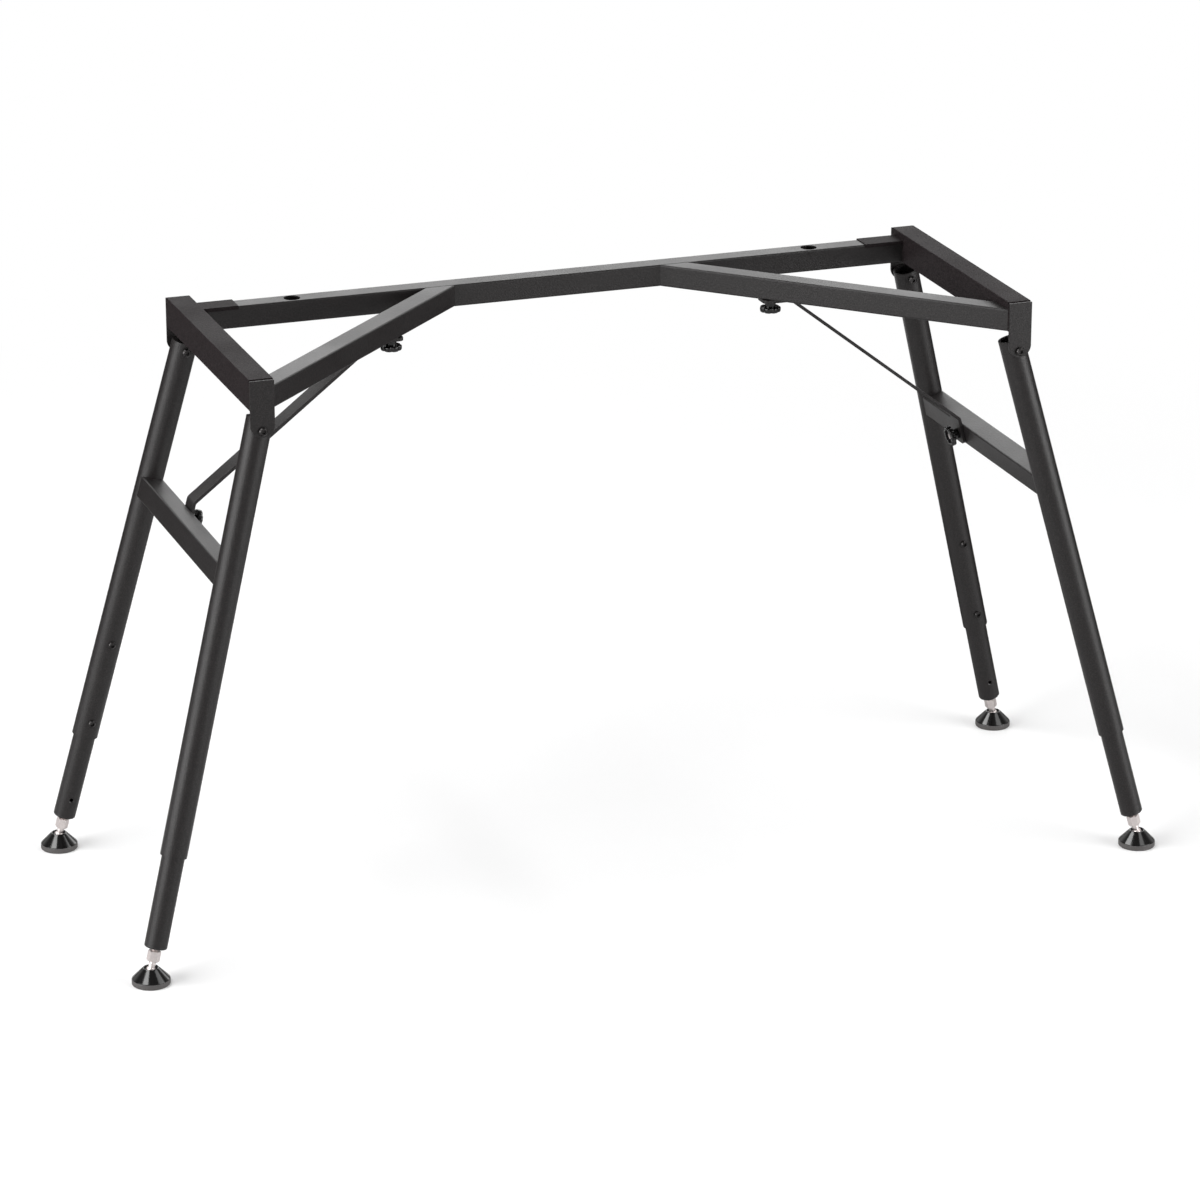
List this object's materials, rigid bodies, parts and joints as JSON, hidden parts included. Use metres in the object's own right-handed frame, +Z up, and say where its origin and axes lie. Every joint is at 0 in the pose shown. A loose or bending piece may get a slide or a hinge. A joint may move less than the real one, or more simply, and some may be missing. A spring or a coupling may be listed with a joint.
{
  "type": "organ stand",
  "caption": "Table-style stand for an organ or keyboard: tube top frame, folding splayed legs with telescoping lower tubes, levelling pads and knob-clamped flat-bar braces.",
  "frame": {"origin": "on the floor under the middle of the stand's box", "axes": "+Z up, X along the stand's length, +Y towards the long rear rail, so the player sits at -Y"},
  "size_m": [1.4428, 0.5374, 0.779],
  "materials": {
    "powder_coat": "satin",
    "powder_coat_end": "matte",
    "black_screw": "satin",
    "black_plug": "matte",
    "zinc": "satin",
    "gloss_pad": "gloss",
    "rubber_sole": "matte",
    "knob_plastic": "gloss",
    "stud_steel": "satin"
  },
  "bodies": {
    "top_frame": {"rear_rail": "powder_coat", "diagonal_left": "powder_coat", "diagonal_right": "powder_coat", "end_channel_left": "powder_coat_end", "end_channel_right": "powder_coat_end", "tab_front_left": "powder_coat", "tab_rear_left": "powder_coat", "tab_front_right": "powder_coat", "tab_rear_right": "powder_coat", "rail_cap_left": "powder_coat_end", "rail_cap_right": "powder_coat_end", "pivot_bolts": "black_screw", "pivot_sleeve_nuts": "black_screw"},
    "leg_frame_left": {"leg_front_left": "powder_coat", "leg_rear_left": "powder_coat", "cross_tube_left": "powder_coat", "height_bolts_left": "black_screw"},
    "strut_left": {"brace_left": "powder_coat"},
    "star_knob_upper_left": {"knob_upper_left": "knob_plastic", "stud_upper_left": "stud_steel"},
    "star_knob_lower_left": {"knob_lower_left": "knob_plastic", "stud_lower_left": "stud_steel"},
    "extension_front_left": {"lower_front_left": "powder_coat", "plug_front_left": "black_plug"},
    "foot_screw_front_left": {"spindle_front_left": "zinc"},
    "foot_front_left": {"pad_front_left": "gloss_pad", "sole_front_left": "rubber_sole"},
    "extension_rear_left": {"lower_rear_left": "powder_coat", "plug_rear_left": "black_plug"},
    "foot_screw_rear_left": {"spindle_rear_left": "zinc"},
    "foot_rear_left": {"pad_rear_left": "gloss_pad", "sole_rear_left": "rubber_sole"},
    "leg_frame_right": {"leg_front_right": "powder_coat", "leg_rear_right": "powder_coat", "cross_tube_right": "powder_coat", "height_bolts_right": "black_screw"},
    "strut_right": {"brace_right": "powder_coat"},
    "star_knob_upper_right": {"knob_upper_right": "knob_plastic", "stud_upper_right": "stud_steel"},
    "star_knob_lower_right": {"knob_lower_right": "knob_plastic", "stud_lower_right": "stud_steel"},
    "extension_front_right": {"lower_front_right": "powder_coat", "plug_front_right": "black_plug"},
    "foot_screw_front_right": {"spindle_front_right": "zinc"},
    "foot_front_right": {"pad_front_right": "gloss_pad", "sole_front_right": "rubber_sole"},
    "extension_rear_right": {"lower_rear_right": "powder_coat", "plug_rear_right": "black_plug"},
    "foot_screw_rear_right": {"spindle_rear_right": "zinc"},
    "foot_rear_right": {"pad_rear_right": "gloss_pad", "sole_rear_right": "rubber_sole"}
  },
  "joints": [
    {"name": "fold_left", "type": "hinge", "parent": "top_frame", "child": "leg_frame_left", "pos_m": [-0.519, 0, 0.71153], "axis": [0, -1, 0], "range_deg": [0, 104]},
    {"name": "strut_tilt_left", "type": "hinge", "parent": "top_frame", "child": "strut_left", "pos_m": [-0.254, 0.06025, 0.73823], "axis": [0, -1, 0], "range_deg": [0, 78]},
    {"name": "turn_upper_left", "type": "hinge", "parent": "strut_left", "child": "star_knob_upper_left", "pos_m": [-0.268, 0.06025, 0.73373], "axis": [0, 0, -1], "continuous": true},
    {"name": "turn_lower_left", "type": "hinge", "parent": "strut_left", "child": "star_knob_lower_left", "pos_m": [-0.54851, 0.06025, 0.51616], "axis": [0.9688, 0, -0.2477], "continuous": true},
    {"name": "height_front_left", "type": "slide", "parent": "leg_frame_left", "child": "extension_front_left", "axis": [-0.2467, -0.0889, -0.965], "range_m": [-0.1174, 0.2348]},
    {"name": "level_front_left", "type": "slide", "parent": "extension_front_left", "child": "foot_screw_front_left", "axis": [-0.2467, -0.0889, -0.965], "range_m": [-0.002, 0.018]},
    {"name": "pad_tilt_front_left", "type": "hinge", "parent": "foot_screw_front_left", "child": "foot_front_left", "pos_m": [-0.69642, -0.24366, 0.0175], "axis": [0, 1, 0], "range_deg": [-12, 12]},
    {"name": "height_rear_left", "type": "slide", "parent": "leg_frame_left", "child": "extension_rear_left", "axis": [-0.2467, 0.0889, -0.965], "range_m": [-0.1174, 0.2348]},
    {"name": "level_rear_left", "type": "slide", "parent": "extension_rear_left", "child": "foot_screw_rear_left", "axis": [-0.2467, 0.0889, -0.965], "range_m": [-0.002, 0.018]},
    {"name": "pad_tilt_rear_left", "type": "hinge", "parent": "foot_screw_rear_left", "child": "foot_rear_left", "pos_m": [-0.69642, 0.24366, 0.0175], "axis": [0, 1, 0], "range_deg": [-12, 12]},
    {"name": "fold_right", "type": "hinge", "parent": "top_frame", "child": "leg_frame_right", "pos_m": [0.519, 0, 0.71153], "axis": [0, 1, 0], "range_deg": [0, 97]},
    {"name": "strut_tilt_right", "type": "hinge", "parent": "top_frame", "child": "strut_right", "pos_m": [0.254, 0.06025, 0.73823], "axis": [0, 1, 0], "range_deg": [0, 72.75]},
    {"name": "turn_upper_right", "type": "hinge", "parent": "strut_right", "child": "star_knob_upper_right", "pos_m": [0.268, 0.06025, 0.73373], "axis": [0, 0, -1], "continuous": true},
    {"name": "turn_lower_right", "type": "hinge", "parent": "strut_right", "child": "star_knob_lower_right", "pos_m": [0.54851, 0.06025, 0.51616], "axis": [-0.9688, 0, -0.2477], "continuous": true},
    {"name": "height_front_right", "type": "slide", "parent": "leg_frame_right", "child": "extension_front_right", "axis": [0.2467, -0.0889, -0.965], "range_m": [-0.1174, 0.2348]},
    {"name": "level_front_right", "type": "slide", "parent": "extension_front_right", "child": "foot_screw_front_right", "axis": [0.2467, -0.0889, -0.965], "range_m": [-0.002, 0.018]},
    {"name": "pad_tilt_front_right", "type": "hinge", "parent": "foot_screw_front_right", "child": "foot_front_right", "pos_m": [0.69642, -0.24366, 0.0175], "axis": [0, 1, 0], "range_deg": [-12, 12]},
    {"name": "height_rear_right", "type": "slide", "parent": "leg_frame_right", "child": "extension_rear_right", "axis": [0.2467, 0.0889, -0.965], "range_m": [-0.1174, 0.2348]},
    {"name": "level_rear_right", "type": "slide", "parent": "extension_rear_right", "child": "foot_screw_rear_right", "axis": [0.2467, 0.0889, -0.965], "range_m": [-0.002, 0.018]},
    {"name": "pad_tilt_rear_right", "type": "hinge", "parent": "foot_screw_rear_right", "child": "foot_rear_right", "pos_m": [0.69642, 0.24366, 0.0175], "axis": [0, 1, 0], "range_deg": [-12, 12]}
  ],
  "couplings": [
    {"joint": "strut_tilt_left", "follows": "fold_left", "ratio": 0.75},
    {"joint": "strut_tilt_right", "follows": "fold_right", "ratio": 0.75}
  ]
}
